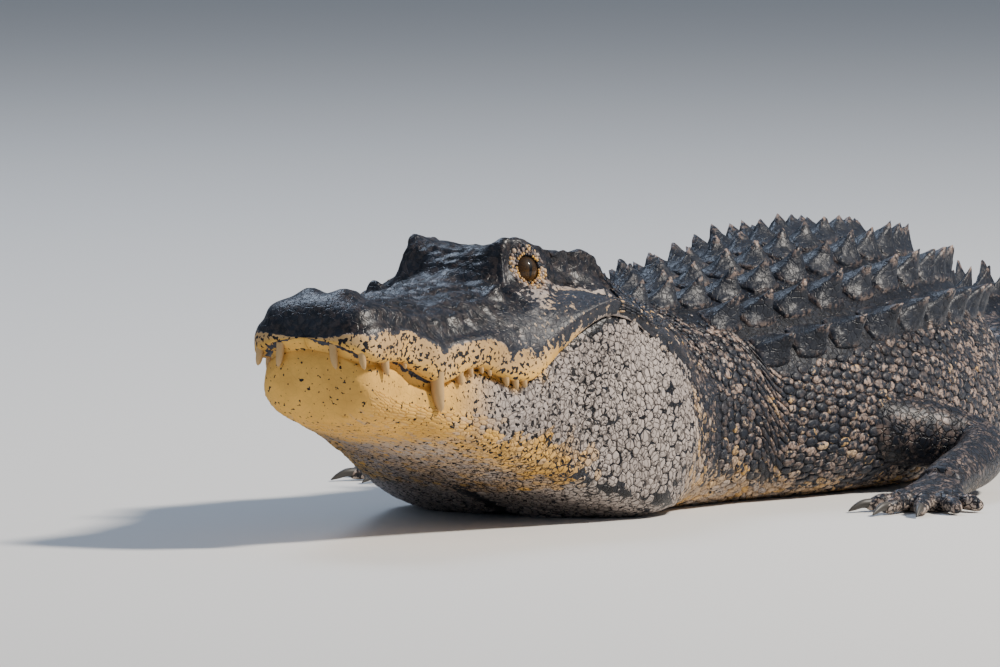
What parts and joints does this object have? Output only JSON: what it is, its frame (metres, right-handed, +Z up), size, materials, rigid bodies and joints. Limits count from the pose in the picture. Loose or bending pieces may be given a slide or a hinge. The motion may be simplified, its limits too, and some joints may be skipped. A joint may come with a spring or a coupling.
{
  "type": "american alligator",
  "caption": "Life-size still model of an american alligator lying at rest with its head a little raised and its tail curved.",
  "frame": {"origin": "the middle of the flat of the belly, on the floor, under the mid-trunk", "axes": "+X from the nose towards the tail, along the longest extent; -Y to the animal's left; +Z up"},
  "size_m": [2.7699, 0.8503, 0.2478],
  "materials": {
    "hide": "dark slate scaly hide with a damp sheen",
    "jaw_hide": "cream to tan scaly hide",
    "limb_hide": "grey scaly hide with pale spots",
    "eye": "dark olive-brown, wet gloss",
    "tooth": "ivory, satin",
    "claw": "dark horn, satin"
  },
  "bodies": {
    "root": {"head": "hide", "lower_jaw": "jaw_hide", "eye_left": "eye", "eye_right": "eye", "neck": "hide", "torso": "hide", "tail_1": "hide", "tail_2": "hide", "tail_3": "hide", "tail_4": "hide", "foreleg_left": "limb_hide", "forefoot_left": "limb_hide", "hindleg_left": "limb_hide", "hindfoot_left": "limb_hide", "foreleg_right": "limb_hide", "forefoot_right": "limb_hide", "hindleg_right": "limb_hide", "hindfoot_right": "limb_hide"}
  },
  "joints": []
}
